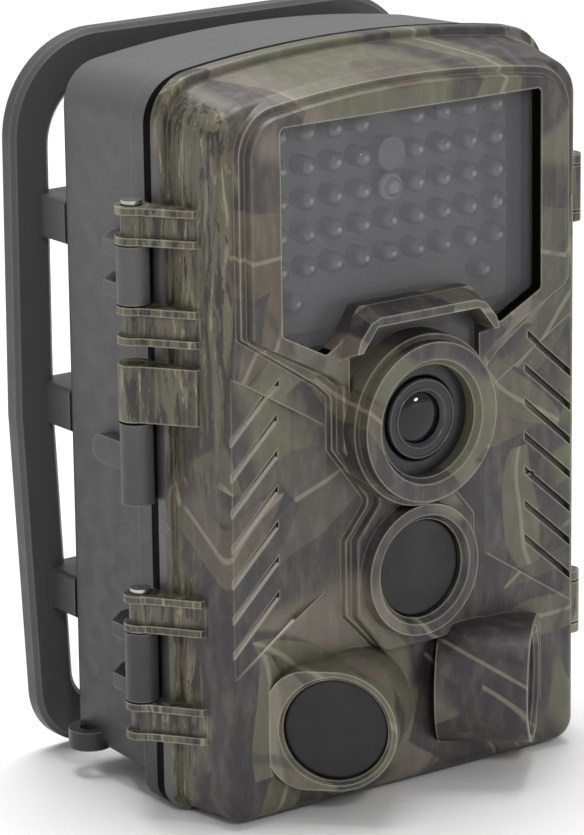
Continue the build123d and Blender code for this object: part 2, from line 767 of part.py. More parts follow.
with BuildPart() as usb_socket:
    with BuildSketch(front_plane(MAIN_BOARD_FRONT - BOARD_THICKNESS - 0.05)):
        with Locations((USB_X, 20.6)):
            Rectangle(7.7, 7.0)
    extrude(amount=-3.0)
    with BuildSketch(Plane.XY.offset(17.1)):
        with Locations((USB_X, -4.85)):
            Rectangle(6.7, 2.0)
    extrude(amount=5.5, mode=Mode.SUBTRACT)
finish(usb_socket, "usb_socket")

# latches on the right-hand side and the pins that they turn on
lever_outline = [
    (LATCH_X + LATCH_RADIUS, LATCH_Y),
    (46.1, -6.0),
    (46.1, 7.6),
    (46.9, 10.4),
    (45.9, 10.8),
    (44.6, 8.8),
    (RIM_HALF_WIDTH + 0.5, 8.0),
    (RIM_HALF_WIDTH + 0.5, -5.2),
    (LATCH_X - 0.4, LATCH_Y + 1.6),
    (LATCH_X, LATCH_Y),
]
for name, (low, high) in zip(("latch_lower", "latch_upper"), reversed(LATCH_SPANS)):
    base = low + LATCH_EAR + PART_GAP
    height = high - low - 2 * (LATCH_EAR + PART_GAP)
    with BuildPart() as latch:
        with BuildSketch(Plane.XY.offset(base)):
            with Locations((LATCH_X, LATCH_Y)):
                Circle(LATCH_RADIUS)
            with BuildLine():
                Polyline(*lever_outline, close=True)
            make_face()
            with Locations((LATCH_X, LATCH_Y)):
                Circle(LATCH_PIN_RADIUS + RUNNING_CLEARANCE, mode=Mode.SUBTRACT)
        extrude(amount=height)
    finish(latch, name)

with BuildPart() as latch_pins:
    for low, high in LATCH_SPANS:
        with BuildSketch(Plane.XY.offset(low)):
            with Locations((LATCH_X, LATCH_Y)):
                Circle(LATCH_PIN_RADIUS)
        extrude(amount=high - low)
finish(latch_pins, "latch_pins")

# ---------------------------------------------------------------- rear half
rear_rim = case_outline(REAR_HALF_WIDTH, 0.0, REAR_TOP_MID, 8.6, 4.6)
rear_front = case_outline(REAR_HALF_WIDTH, REAR_BOTTOM, REAR_TOP_MID, 8.6, 3.0)
rear_back = case_outline(REAR_HALF_WIDTH - 1.1, REAR_BOTTOM + 0.8, REAR_TOP_MID - 1.2, 8.0, 3.0)
rear_inside_front = case_outline(REAR_HALF_WIDTH - 2.5, REAR_BOTTOM + 2.5, REAR_TOP_MID - 2.5, 6.2, 2.0)
rear_inside_back = case_outline(REAR_HALF_WIDTH - 3.2, REAR_BOTTOM + 2.8, REAR_TOP_MID - 3.3, 5.8, 2.0)
groove_outer = case_outline(REAR_HALF_WIDTH - 0.7, REAR_BOTTOM + 0.7, REAR_TOP_MID - 0.7, 7.9, 2.3)
groove_inner = case_outline(REAR_HALF_WIDTH - 1.8, REAR_BOTTOM + 1.8, REAR_TOP_MID - 1.8, 6.8, 1.4)
back_wall = REAR_DEPTH - WALL
bracket_outer = bracket_outline([(46.0, 136.3), (46.7, 66.0), (43.6, 0.2)], 19.0, 12.0)
bracket_inner = bracket_outline([(37.9, 127.4), (38.3, 66.0), (35.7, 8.6)], 12.0, 6.0)
with BuildSketch() as barrel_sketch:
    with Locations((HINGE_X, 0)):
        Circle(KNUCKLE_RADIUS - 0.1)
    with BuildLine():
        Polyline((HINGE_X, SEAM_GAP), (-42.1, SEAM_GAP), (-42.1, 4.4), (HINGE_X, 3.0), close=True)
    make_face()
barrel_web = barrel_sketch.sketch
with BuildSketch() as gusset_sketch:
    with BuildLine():
        Polyline((-47.6, 1.9), (-42.1, 1.9), (-41.6, 11.5), (-43.0, 11.5), (-47.4, 8.0), close=True)
    make_face()
gusset_web = gusset_sketch.sketch

with BuildPart() as rear_shell:
    # rim with its foot, then the drafted box behind it
    with BuildSketch(front_plane(-SEAM_GAP)):
        add(rear_rim)
    extrude(amount=-FOOT_DEPTH)
    with BuildSketch(front_plane(-SEAM_GAP)):
        add(rear_front)
    with BuildSketch(front_plane(-REAR_DEPTH)):
        add(rear_back)
    loft(ruled=True)
    fillet(rear_shell.faces().sort_by(Axis.Y)[-1].edges(), 2.4)
    # battery bay
    with BuildSketch(front_plane(-SEAM_GAP)):
        add(rear_inside_front)
    with BuildSketch(front_plane(-back_wall)):
        add(rear_inside_back)
    loft(ruled=True, mode=Mode.SUBTRACT)
    # groove for the seal
    with BuildSketch(front_plane(-SEAM_GAP)):
        add(groove_outer)
        add(groove_inner, mode=Mode.SUBTRACT)
    extrude(amount=-1.2, mode=Mode.SUBTRACT)
    # tripod boss inside the floor
    with BuildSketch(Plane.XY.offset(REAR_BOTTOM + 0.4)):
        with Locations((0, TRIPOD_Y)):
            Circle(7.5)
    extrude(amount=TRIPOD_INSERT_LENGTH)
    with BuildSketch(Plane.XY.offset(REAR_BOTTOM - 0.5)):
        with Locations((0, TRIPOD_Y)):
            Circle(TRIPOD_INSERT_RADIUS)
    extrude(amount=TRIPOD_INSERT_LENGTH + 0.9, mode=Mode.SUBTRACT)
    # hole for the power jack
    with BuildSketch(Plane.XY.offset(REAR_BOTTOM - 0.5)):
        with Locations((JACK_X, TRIPOD_Y)):
            Circle(4.2)
    extrude(amount=5.0, mode=Mode.SUBTRACT)
    # hinge barrels, each on a web with two gussets
    for low, high in HINGE_GROUPS:
        base = low + LUG_HEIGHT + PART_GAP
        height = high - low - 2 * (LUG_HEIGHT + PART_GAP)
        with BuildSketch(Plane.XY.offset(base)):
            add(barrel_web)
        extrude(amount=height)
        for gusset in (base + 0.2, base + height - GUSSET_HEIGHT):
            with BuildSketch(Plane.XY.offset(gusset)):
                add(gusset_web)
            extrude(amount=GUSSET_HEIGHT)
        with BuildSketch(Plane.XY.offset(base)):
            with Locations((HINGE_X, 0)):
                Circle(HINGE_PIN_RADIUS)
        extrude(amount=height, mode=Mode.SUBTRACT)
    # lock barrel under the front half's lock lug
    with BuildSketch(Plane.XY.offset(LOCK_BARREL[0])):
        add(barrel_web)
    extrude(amount=LOCK_BARREL[1] - LOCK_BARREL[0])
    with BuildSketch(Plane.XY.offset(LOCK_BARREL[0])):
        with Locations((HINGE_X, 0)):
            Circle(LOCK_BORE)
    extrude(amount=LOCK_BARREL[1] - LOCK_BARREL[0], mode=Mode.SUBTRACT)
    # finger rib behind the lock barrel and the ledges that the latches close over
    with BuildSketch(Plane.YZ.offset(-REAR_HALF_WIDTH + 1.0)):
        with Locations((11.0, 64.8)):
            SlotOverall(14.0, 5.2)
    extrude(amount=-2.6)
    for low, high in LATCH_SPANS:
        with BuildSketch(Plane.XY.offset(low + 3.0)):
            with BuildLine():
                Polyline((41.0, 3.6), (42.8, 3.6), (43.1, 5.0), (43.1, 6.4), (41.0, 8.4), close=True)
            make_face()
        extrude(amount=high - low - 6.0)
    # strap eyelets at the lower rear corners
    for side in (-1, 1):
        with BuildSketch(Plane.XY.offset(REAR_BOTTOM + 0.6)):
            with Locations((side * 41.6, 25.0)):
                Circle(4.0)
                Circle(2.0, mode=Mode.SUBTRACT)
        extrude(amount=3.6)
    # clearance for the bracket screws
    with BuildSketch(front_plane(-back_wall)):
        with Locations(*BRACKET_SCREW_SPOTS):
            Circle(1.5)
    extrude(amount=-WALL, mode=Mode.SUBTRACT)
finish(rear_shell, "rear_shell")

with BuildPart() as case_gasket:
    with BuildSketch(front_plane(-0.1)):
        add(groove_outer)
        add(groove_inner, mode=Mode.SUBTRACT)
    extrude(amount=-(SEAM_GAP + 1.1))
finish(case_gasket, "case_gasket")

with BuildPart() as hinge_pins:
    for low, high in HINGE_GROUPS:
        with BuildSketch(Plane.XY.offset(low + 0.2)):
            with Locations((HINGE_X, 0)):
                Circle(HINGE_PIN_RADIUS)
        extrude(amount=high - low + 0.2)
        with BuildSketch(Plane.XY.offset(high + PART_GAP)):
            with Locations((HINGE_X, 0)):
                Circle(1.9)
        extrude(amount=0.6)
finish(hinge_pins, "hinge_pins")

with BuildPart() as tree_bracket:
    # open loop that bears on the tree
    with BuildSketch(front_plane(-BRACKET_BACK + BRACKET_THICKNESS)):
        add(bracket_outer)
        add(bracket_inner, mode=Mode.SUBTRACT)
    extrude(amount=-BRACKET_THICKNESS)
    chamfer(tree_bracket.faces().sort_by(Axis.Y)[0].edges(), 0.9)
    # ribs that stand the loop off the back and leave the strap windows between them
    with BuildSketch(front_plane(-REAR_DEPTH)):
        for side in (-1, 1):
            for middle_z in BRACKET_RIBS:
                with Locations((side * BRACKET_RIB_X, middle_z)):
                    RectangleRounded(9.6, BRACKET_RIB_HEIGHT, 0.8)
    extrude(amount=-(BRACKET_BACK - REAR_DEPTH - 0.8))
    with BuildSketch(front_plane(-REAR_DEPTH)):
        with Locations(*BRACKET_SCREW_SPOTS):
            Circle(1.3)
    extrude(amount=-8.0, mode=Mode.SUBTRACT)
finish(tree_bracket, "tree_bracket")

with BuildPart() as bracket_screws:
    with BuildSketch(front_plane(-back_wall)):
        with Locations(*BRACKET_SCREW_SPOTS):
            Circle(2.6)
    extrude(amount=1.5)
    with BuildSketch(front_plane(-back_wall)):
        with Locations(*BRACKET_SCREW_SPOTS):
            Circle(1.3)
    extrude(amount=-9.0)
finish(bracket_screws, "bracket_screws")

with BuildPart() as tripod_insert:
    with BuildSketch(Plane.XY.offset(REAR_BOTTOM + 0.4)):
        with Locations((0, TRIPOD_Y)):
            Circle(TRIPOD_INSERT_RADIUS)
            Circle(TRIPOD_THREAD_RADIUS, mode=Mode.SUBTRACT)
    extrude(amount=TRIPOD_INSERT_LENGTH)
finish(tripod_insert, "tripod_insert")

with BuildPart() as power_jack:
    with BuildSketch(Plane.XY.offset(REAR_BOTTOM + 0.4)):
        with Locations((JACK_X, TRIPOD_Y)):
            Circle(4.1)
    extrude(amount=JACK_TOP - REAR_BOTTOM - 0.4)
    with BuildSketch(Plane.XY.offset(REAR_BOTTOM + 0.4)):
        with Locations((JACK_X, TRIPOD_Y)):
            Circle(JACK_BORE)
            Circle(0.9, mode=Mode.SUBTRACT)
    extrude(amount=JACK_TOP - REAR_BOTTOM - 1.4, mode=Mode.SUBTRACT)
finish(power_jack, "power_jack")

with BuildPart() as port_plug:
    with BuildSketch(Plane.XY.offset(REAR_BOTTOM - 1.3)):
        with Locations((JACK_X, TRIPOD_Y)):
            RectangleRounded(13.0, 11.0, 3.0)
    extrude(amount=1.2)
    fillet(port_plug.faces().sort_by(Axis.Z)[0].edges(), 0.5)
    with BuildSketch(Plane.XY.offset(REAR_BOTTOM - 0.1)):
        with Locations((JACK_X, TRIPOD_Y)):
            Circle(JACK_BORE - 0.06)
            Circle(1.1, mode=Mode.SUBTRACT)
    extrude(amount=6.0)
finish(port_plug, "port_plug")

# battery bay: tray, cells, springs, contact plates and cover
bay_starts = [TRAY_FLOOR + TRAY_WALL, TRAY_FLOOR + 2 * TRAY_WALL + BAY_LENGTH]
cell_columns = [CELL_PITCH * (index - 1.5) for index in range(4)]
tray_front = CELL_Y - CELL_RADIUS - 0.8
tray_back = CELL_Y + CELL_RADIUS + 0.15 + TRAY_WALL
bay_width = 4 * CELL_PITCH
with BuildPart() as battery_tray:
    with BuildSketch(front_plane(-tray_front)):
        with Locations((0, TRAY_FLOOR + (2 * BAY_LENGTH + 3 * TRAY_WALL) / 2)):
            RectangleRounded(bay_width + 2 * TRAY_WALL, 2 * BAY_LENGTH + 3 * TRAY_WALL, 1.0)
    extrude(amount=-(tray_back - tray_front))
    for start in bay_starts:
        with BuildSketch(front_plane(-tray_front)):
            with Locations((0, start + BAY_LENGTH / 2)):
                Rectangle(bay_width, BAY_LENGTH)
        extrude(amount=-(tray_back - tray_front - TRAY_WALL), mode=Mode.SUBTRACT)
finish(battery_tray, "battery_tray")

with BuildPart() as battery_cells:
    for start in bay_starts:
        with BuildSketch(Plane.XY.offset(start + 0.4)):
            with Locations(*[(x, CELL_Y) for x in cell_columns]):
                Circle(CELL_RADIUS)
        extrude(amount=CELL_LENGTH)
        with BuildSketch(Plane.XY.offset(start + 0.4 + CELL_LENGTH)):
            with Locations(*[(x, CELL_Y) for x in cell_columns]):
                Circle(2.6)
        extrude(amount=1.0)
finish(battery_cells, "battery_cells")

with BuildPart() as contact_plates:
    for start in bay_starts:
        for level in (start, start + BAY_LENGTH - 0.4):
            for middle in (-CELL_PITCH, CELL_PITCH):
                with BuildSketch(Plane.XY.offset(level)):
                    with Locations((middle, CELL_Y)):
                        RectangleRounded(26.0, 10.0, 1.0)
                extrude(amount=0.4)
finish(contact_plates, "contact_plates")

# conical springs, drawn as the cone that their wire winds on
spring_base = BAY_LENGTH - 0.4
spring_tip = 0.4 + CELL_LENGTH + 1.0
with BuildPart() as battery_springs:
    for start in bay_starts:
        for x in cell_columns:
            with BuildSketch(Plane.XY.offset(start + spring_tip)):
                with Locations((x, CELL_Y)):
                    Circle(2.4)
                    Circle(1.6, mode=Mode.SUBTRACT)
            extrude(amount=spring_base - spring_tip, taper=-25)
finish(battery_springs, "battery_springs")

with BuildPart() as battery_cover:
    with BuildSketch(front_plane(-3.0)):
        with Locations((0, 69.5)):
            RectangleRounded(70.0, 118.0, 3.0)
    extrude(amount=-1.6)
    fillet(battery_cover.faces().sort_by(Axis.Y)[0].edges(), 0.6)
    with BuildSketch(front_plane(-3.0)):
        with Locations((0, 18.0)):
            SlotOverall(22.0, 6.0)
    extrude(amount=-0.7, mode=Mode.SUBTRACT)
finish(battery_cover, "battery_cover")

with BuildPart() as contact_pins:
    with BuildSketch(front_plane(-3.0)):
        with Locations(*CONTACT_SPOTS):
            Circle(1.0)
    extrude(amount=3.0 + 0.2)
finish(contact_pins, "contact_pins")

with BuildPart() as contact_pads:
    with BuildSketch(front_plane(INNER_COVER_BACK)):
        with Locations(*CONTACT_SPOTS):
            Circle(2.25)
    extrude(amount=INNER_COVER_FRONT - INNER_COVER_BACK)
finish(contact_pads, "contact_pads")
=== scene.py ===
import json
from math import cos, pi, radians, sin

import bpy
from mathutils import Matrix, Vector


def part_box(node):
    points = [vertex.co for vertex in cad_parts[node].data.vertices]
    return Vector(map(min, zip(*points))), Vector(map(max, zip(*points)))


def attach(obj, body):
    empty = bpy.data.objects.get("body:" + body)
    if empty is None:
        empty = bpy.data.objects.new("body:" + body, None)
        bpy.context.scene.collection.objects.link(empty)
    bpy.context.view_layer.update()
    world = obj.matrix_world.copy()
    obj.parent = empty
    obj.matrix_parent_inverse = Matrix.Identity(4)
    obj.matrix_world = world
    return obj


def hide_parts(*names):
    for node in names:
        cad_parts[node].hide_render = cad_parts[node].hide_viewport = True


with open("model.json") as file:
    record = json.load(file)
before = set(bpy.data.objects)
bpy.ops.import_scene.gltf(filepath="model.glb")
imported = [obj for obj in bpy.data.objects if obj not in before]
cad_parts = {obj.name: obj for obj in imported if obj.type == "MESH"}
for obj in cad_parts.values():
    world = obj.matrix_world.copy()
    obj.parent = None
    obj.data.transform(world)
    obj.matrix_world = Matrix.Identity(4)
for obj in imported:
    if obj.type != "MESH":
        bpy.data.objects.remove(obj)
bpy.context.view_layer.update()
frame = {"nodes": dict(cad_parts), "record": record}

MM = 0.001
# the photograph's view: azimuth, elevation and roll in degrees, then distance and aim in metres
VIEW_AZIMUTH, VIEW_ELEVATION, VIEW_ROLL = -35.925, 15.306, -0.766
VIEW_DISTANCE = 0.7468
VIEW_TARGET = Vector((-0.0309, -0.0254, 0.0770))
VIEW_LENS = 185.5
VIEW_SENSOR = 36.0
CASE_MIDDLE = Vector((0.0, 0.0, 0.07))

# where the painted areas of the front half end, in metres:
# depths from the seam, half widths from the middle, and heights from the floor
FRONT_SEAL_DEPTH, FRONT_SEAL_HALF = -0.0014, 0.0434
LIP_DEPTH, LIP_HALF, LIP_TOP = -0.0040, 0.0435, 0.124
HOOD_FACE, HOOD_BACK, HOOD_HALF = -0.0190, -0.0172, 0.01466
HOOD_LOW, HOOD_HIGH = 0.0655, 0.0900
WINDOW_FACE, WINDOW_HALF, WINDOW_TOP = -0.0202, 0.0292, 0.1272
NOTCH_HALF, NOTCH_TOP = 0.0182, 0.0946
SILL_HEIGHT, SILL_START, SILL_SLOPE = 0.0850, 0.0195, 0.505
VENT_FACE, VENT_BACK, VENT_HALF, VENT_TOP = -0.0176, -0.0150, 0.0250, 0.0846
# the same for the rear half: the seal's edge, where the bracket's plane starts, and the height where the painted
# shade ends and the grey is lightest
REAR_SEAL_DEPTH, REAR_SEAL_HALF = 0.0019, 0.0427
REAR_BACK, REAR_TOP = 0.036, 0.125

# specular level of plastic with no sheen, and the depth of a grain too fine to see, in metres
NO_SHEEN = 0.02
FAINT = 0.000005
# radii in millimetres: the one that closes a turned profile on its axis, and a lamp's
TINY_RADIUS = 0.0001
LAMP_RADIUS = 1.9


# ---------------------------------------------------------------- node helpers
class Tree:
    """A material's node tree, with one short call for each kind of step."""

    def __init__(self, name, **values):
        self.material = bpy.data.materials.new(name)
        self.material.use_nodes = True
        self.nodes = self.material.node_tree.nodes
        self.links = self.material.node_tree.links
        self.shader = self.nodes["Principled BSDF"]
        for key, value in values.items():
            self.shader.inputs[key.replace("_", " ")].default_value = value
        self.coordinates = self.add("ShaderNodeTexCoord")
        self.place = self.coordinates.outputs["Object"]
        self.normal = self.coordinates.outputs["Normal"]

    def add(self, kind, inputs=None, **settings):
        node = self.nodes.new(kind)
        for key, value in settings.items():
            setattr(node, key, value)
        for key, value in (inputs or {}).items():
            self.feed(node.inputs[key], value)
        return node

    def feed(self, socket, value):
        if isinstance(value, bpy.types.NodeSocket):
            self.links.new(value, socket)
        else:
            socket.default_value = value

    def math(self, operation, first, second=0.0):
        return self.add("ShaderNodeMath", {0: first, 1: second}, operation=operation).outputs[0]

    def product(self, *factors):
        result = factors[0]
        for factor in factors[1:]:
            result = self.math("MULTIPLY", result, factor)
        return result

    def inverse(self, mask):
        return self.math("SUBTRACT", 1.0, mask)

    def swing(self, noise, size):
        """Moves a noise round zero and gives it a size."""
        return self.product(self.math("SUBTRACT", noise, 0.5), size)

    def vector(self, operation, first, second):
        node = self.add("ShaderNodeVectorMath", {0: first, 1: second}, operation=operation)
        return node.outputs["Value" if operation == "DOT_PRODUCT" else "Vector"]

    def stretched(self, place, scale):
        return self.add("ShaderNodeMapping", {"Vector": place, "Scale": scale}).outputs[0]

    def split(self, vector):
        return self.add("ShaderNodeSeparateXYZ", {0: vector}).outputs

    def noise(self, scale, place=None, detail=3.0, roughness=0.5, distortion=0.0):
        values = {"Vector": place or self.place, "Scale": scale, "Detail": detail}
        values.update({"Roughness": roughness, "Distortion": distortion})
        return self.add("ShaderNodeTexNoise", values).outputs["Fac"]

    def between(self, value, low, high, to_low=0.0, to_high=1.0):
        """Smooth step of value from low to high."""
        values = {"Value": value, "From Min": low, "From Max": high, "To Min": to_low, "To Max": to_high}
        return self.add("ShaderNodeMapRange", values, interpolation_type="SMOOTHSTEP").outputs[0]

    def above(self, value, limit, soft=0.0001):
        return self.between(value, limit, limit + soft)

    def below(self, value, limit, soft=0.0001):
        return self.between(value, limit, limit - soft)

    def mix(self, factor, first, second):
        node = self.add("ShaderNodeMix", data_type="RGBA")
        for socket, value in zip((node.inputs[0], node.inputs[6], node.inputs[7]), (factor, first, second)):
            self.feed(socket, value)
        return node.outputs[2]

    def ramp(self, factor, stops):
        node = self.add("ShaderNodeValToRGB", {"Fac": factor})
        elements = node.color_ramp.elements
        while len(elements) < len(stops):
            elements.new(0.5)
        for element, (position, colour) in zip(elements, stops):
            element.position = position
            element.color = colour
        return node.outputs["Color"]

    def edges(self, radius):
        """Masks for worn edges and for painted shade in creases, where the surface turns outward or inward
        within the radius.
        """
        rounded = self.add("ShaderNodeBevel", {"Radius": radius}, samples=4).outputs[0]
        facing = self.vector("DOT_PRODUCT", rounded, self.add("ShaderNodeNewGeometry").outputs["Normal"])
        open_sky = self.add("ShaderNodeAmbientOcclusion", {"Distance": radius * 3.0}, samples=4).outputs["AO"]
        # painted shade: the crease mask darkens the hollows that the ambient occlusion finds
        crease_shade = self.between(open_sky, 0.80, 0.45)
        worn = self.product(self.between(facing, 0.985, 0.93), self.inverse(crease_shade))
        return worn, crease_shade

    def colour(self, value):
        self.feed(self.shader.inputs["Base Color"], value)

    def roughness(self, value):
        self.feed(self.shader.inputs["Roughness"], value)

    def dull(self, mask):
        """Takes the sheen off where the mask is on."""
        level = self.shader.inputs["Specular IOR Level"]
        self.feed(level, self.between(mask, 0.0, 1.0, level.default_value, NO_SHEEN))

    def bump(self, height, distance, strength=1.0):
        """Adds a bump, in metres, over the bumps that are already there."""
        socket = self.shader.inputs["Normal"]
        before = socket.links[0].from_socket if socket.links else None
        node = self.add("ShaderNodeBump", {"Height": height, "Distance": distance, "Strength": strength})
        if before:
            self.feed(node.inputs["Normal"], before)
        self.feed(socket, node.outputs[0])


def srgb(red, green, blue):
    """Linear colour of a display colour given in 0..255."""
    shares = [part / 255 for part in (red, green, blue)]
    return tuple(((c + 0.055) / 1.055) ** 2.4 if c > 0.04 else c / 12.92 for c in shares) + (1.0,)


# ---------------------------------------------------------------- materials
TAUPE = srgb(99, 91, 81)
OLIVE = srgb(85, 86, 68)
BARK = srgb(78, 69, 59)
SHADOW = srgb(46, 43, 46)
PALE = srgb(150, 144, 124)
SEAL = srgb(9, 9, 9)


def leaf_layer(tree, flat, scale, length, width, seed):
    """Leaves scattered one to a cell: the masks of leaf, rib and printed shadow, and the leaf's tint."""
    shifted = tree.vector("ADD", flat, (seed, seed * 0.37, 0.0))
    cells = tree.add("ShaderNodeTexVoronoi", {"Vector": shifted, "Scale": scale}, voronoi_dimensions="2D")
    tint = tree.add("ShaderNodeSeparateColor", {0: cells.outputs["Color"]}).outputs
    local = tree.vector("SUBTRACT", shifted, cells.outputs["Position"])
    turn = tree.product(tint[0], 6.283)
    turned = tree.add("ShaderNodeVectorRotate", {"Vector": local, "Angle": turn}, rotation_type="Z_AXIS")
    x, y, _ = tree.split(turned.outputs[0])
    reach = tree.math("POWER", tree.math("DIVIDE", x, length), 2.0)
    # the midrib bows a little, so no two leaves look cut with one stamp
    across = tree.math("SUBTRACT", y, tree.product(reach, width * 0.7))
    off_rib = tree.math("ABSOLUTE", across)
    edge = tree.math("SUBTRACT", tree.product(tree.inverse(reach), width), off_rib)
    kept = tree.math("GREATER_THAN", tint[2], 0.25)
    mask = tree.product(tree.above(edge, 0.0, 0.0004), kept)
    rib = tree.product(mask, tree.below(off_rib, 0.0006, 0.0004))
    cast = tree.between(tree.math("ADD", edge, tree.product(y, 0.45)), -0.0022, 0.0002)
    shade = tree.product(cast, tree.inverse(mask), kept)
    return mask, rib, shade, tint[1]


def bark_colour(tree):
    """Upright bark: long soft strands broken by short black cracks and lichen flecks."""
    sway = tree.swing(tree.noise(24.0, None, 1.0), 0.007)
    leaning = tree.vector("ADD", tree.place, tree.add("ShaderNodeCombineXYZ", {0: sway, 1: sway}).outputs[0])
    strands = tree.noise(1.0, tree.stretched(leaning, (320.0, 320.0, 22.0)), 5.0, 0.65, 0.3)
    cracks = tree.noise(1.0, tree.stretched(leaning, (620.0, 620.0, 90.0)), 4.0, 0.65, 0.5)
    stops = (
        (0.30, srgb(44, 41, 40)),
        (0.42, srgb(72, 66, 58)),
        (0.50, srgb(90, 88, 67)),
        (0.58, srgb(92, 86, 76)),
        (0.68, srgb(134, 128, 102)),
    )
    colour = tree.ramp(strands, stops)
    colour = tree.mix(tree.between(cracks, 0.52, 0.60, 0.0, 0.85), colour, srgb(36, 33, 33))
    colour = tree.mix(tree.between(cracks, 0.42, 0.34, 0.0, 0.6), colour, srgb(150, 147, 118))
    return colour, tree.math("SUBTRACT", strands, tree.product(cracks, 0.7))


def woodland(tree, x, y, z):
    """Large leaves, their shadows and thin twigs over blotches of taupe, olive and dark."""
    # one flat sheet wraps the case, so the print runs on round its corners
    across = tree.math("ADD", x, tree.product(y, 0.5))
    up = tree.math("SUBTRACT", z, tree.product(y, 0.45))
    sheet = tree.add("ShaderNodeCombineXYZ", {0: across, 1: up}).outputs[0]
    warp = tree.add("ShaderNodeTexNoise", {"Vector": sheet, "Scale": 34.0, "Detail": 1.0}).outputs["Color"]
    pull = tree.add("ShaderNodeVectorMath", {0: warp, "Scale": 0.008}, operation="SCALE").outputs[0]
    flat = tree.vector("ADD", sheet, pull)

    ground = tree.mix(tree.between(tree.noise(34.0, flat, 2.0), 0.44, 0.54), TAUPE, OLIVE)
    gloom = tree.noise(30.0, tree.vector("ADD", flat, (0.7, 0.2, 0)), 2.0, 0.5, 0.5)
    ground = tree.mix(tree.between(gloom, 0.50, 0.55), ground, SHADOW)
    stops = ((0.1, SHADOW), (0.28, OLIVE), (0.45, TAUPE), (0.62, SHADOW), (0.78, OLIVE), (0.9, BARK))
    # scale of the cells, half length and half width of the leaves, and where the layer starts
    for scale, length, width, seed in ((30.0, 0.024, 0.0085, 0.31), (44.0, 0.017, 0.0042, 0.87)):
        mask, rib, shade, tint = leaf_layer(tree, flat, scale, length, width, seed)
        ground = tree.mix(tree.product(shade, 0.9), ground, SHADOW)
        ground = tree.mix(tree.product(mask, 0.94), ground, tree.ramp(tint, stops))
        ground = tree.mix(tree.product(rib, 0.45), ground, PALE)
    twig_place = tree.stretched(tree.vector("ADD", flat, (0.2, 0.9, 0)), (1.0, 0.5, 1.0))
    twig = tree.math("ABSOLUTE", tree.math("SUBTRACT", tree.noise(24.0, twig_place, 1.0), 0.5))
    ground = tree.mix(tree.between(twig, 0.013, 0.004, 0.0, 0.5), ground, SHADOW)
    fine = tree.noise(420.0, tree.stretched(tree.place, (1.0, 1.0, 0.35)), 3.0, 0.6)
    return tree.mix(tree.between(fine, 0.40, 0.75, 0.0, 0.16), ground, PALE)


def window_wall(tree, off_middle, y, z):
    """Mask of the lamp window's inner walls: a box with a notch for the hood and a sloping sill beside it."""
    frame_walls = tree.product(tree.below(off_middle, WINDOW_HALF), tree.below(z, WINDOW_TOP))
    round_notch = tree.math("MAXIMUM", tree.above(z, NOTCH_TOP), tree.above(off_middle, NOTCH_HALF))
    rise = tree.product(tree.math("SUBTRACT", off_middle, SILL_START), SILL_SLOPE)
    over_sill = tree.above(tree.math("SUBTRACT", z, tree.math("MAXIMUM", rise, 0.0)), SILL_HEIGHT)
    return tree.product(frame_walls, round_notch, over_sill, tree.above(y, WINDOW_FACE, 0.0002))


def camouflage():
    """Printed woodland film: leaves and twigs on the face, bark on the sides, plain plastic beside it; painted
    shade under the hood and in creases, and painted highlights on the vents' lower walls.
    """
    tree = Tree("camo_plastic", Specular_IOR_Level=0.5)
    x, y, z = tree.split(tree.place)
    off_middle = tree.math("ABSOLUTE", x)
    bark, depth = bark_colour(tree)
    # bark covers the side walls and, above the lens, the outer part of the face's rim
    outward = tree.math("ADD", off_middle, tree.swing(tree.noise(70.0), 0.006))
    edge = tree.between(z, 0.066, 0.086, 0.0406, 0.0374)
    side = tree.between(tree.math("SUBTRACT", outward, edge), -0.0004, 0.0006)
    printed = tree.mix(side, woodland(tree, x, y, z), bark)
    # the print stops short of the seam, where the bare lip shows
    lip = tree.product(
        tree.above(y, LIP_DEPTH, 0.0006),
        tree.below(z, LIP_TOP, 0.006),
        tree.below(off_middle, LIP_HALF, 0.0003),
    )
    printed = tree.mix(lip, printed, srgb(84, 82, 84))
    # painted shade under the hood: dark grey round the lens ring
    hood_shade = tree.product(
        tree.above(y, HOOD_FACE),
        tree.below(y, HOOD_BACK, 0.0002),
        tree.below(off_middle, HOOD_HALF, 0.00004),
        tree.above(z, HOOD_LOW, 0.001),
        tree.below(z, HOOD_HIGH),
    )
    printed = tree.mix(hood_shade, printed, srgb(66, 65, 67))
    seal = tree.product(tree.above(y, FRONT_SEAL_DEPTH, 0.0002), tree.below(off_middle, FRONT_SEAL_HALF, 0.0002))
    black = tree.math("MAXIMUM", window_wall(tree, off_middle, y, z), seal)
    printed = tree.mix(black, printed, SEAL)
    tree.dull(black)
    worn, crease_shade = tree.edges(0.0005)
    # painted shade: creases darken towards near black
    printed = tree.mix(tree.product(crease_shade, 0.6), printed, srgb(34, 32, 32))
    # painted highlight: the vents' upward-facing lower walls are painted pale, as if lit from above
    vent_highlight = tree.product(
        tree.above(y, VENT_FACE),
        tree.below(y, VENT_BACK),
        tree.above(off_middle, VENT_HALF, 0.0002),
        tree.below(z, VENT_TOP, 0.0002),
        tree.between(tree.split(tree.normal)[2], 0.15, 0.3),
    )
    printed = tree.mix(vent_highlight, printed, srgb(235, 228, 214))
    tree.colour(tree.mix(tree.product(worn, tree.inverse(seal), 0.55), printed, srgb(186, 180, 158)))
    tree.roughness(tree.between(tree.noise(180.0), 0.3, 0.7, 0.38, 0.52))
    tree.bump(tree.product(side, depth), 0.0004, 0.4)
    tree.bump(tree.noise(2400.0, None, 2.0), 0.00003, 0.6)
    return tree.material


def moulded(name, dark, light, rough, grain=2200.0, depth=0.00003):
    """Moulded plastic or rubber: faint mottling, fine spark-eroded grain and uneven sheen."""
    tree = Tree(name, Specular_IOR_Level=0.45)
    tree.colour(tree.mix(tree.noise(90.0, None, 4.0, 0.6), dark, light))
    tree.roughness(tree.between(tree.noise(260.0), 0.3, 0.7, rough - 0.06, rough + 0.06))
    tree.bump(tree.noise(grain, None, 2.0, 0.6), depth, 0.7)
    return tree.material


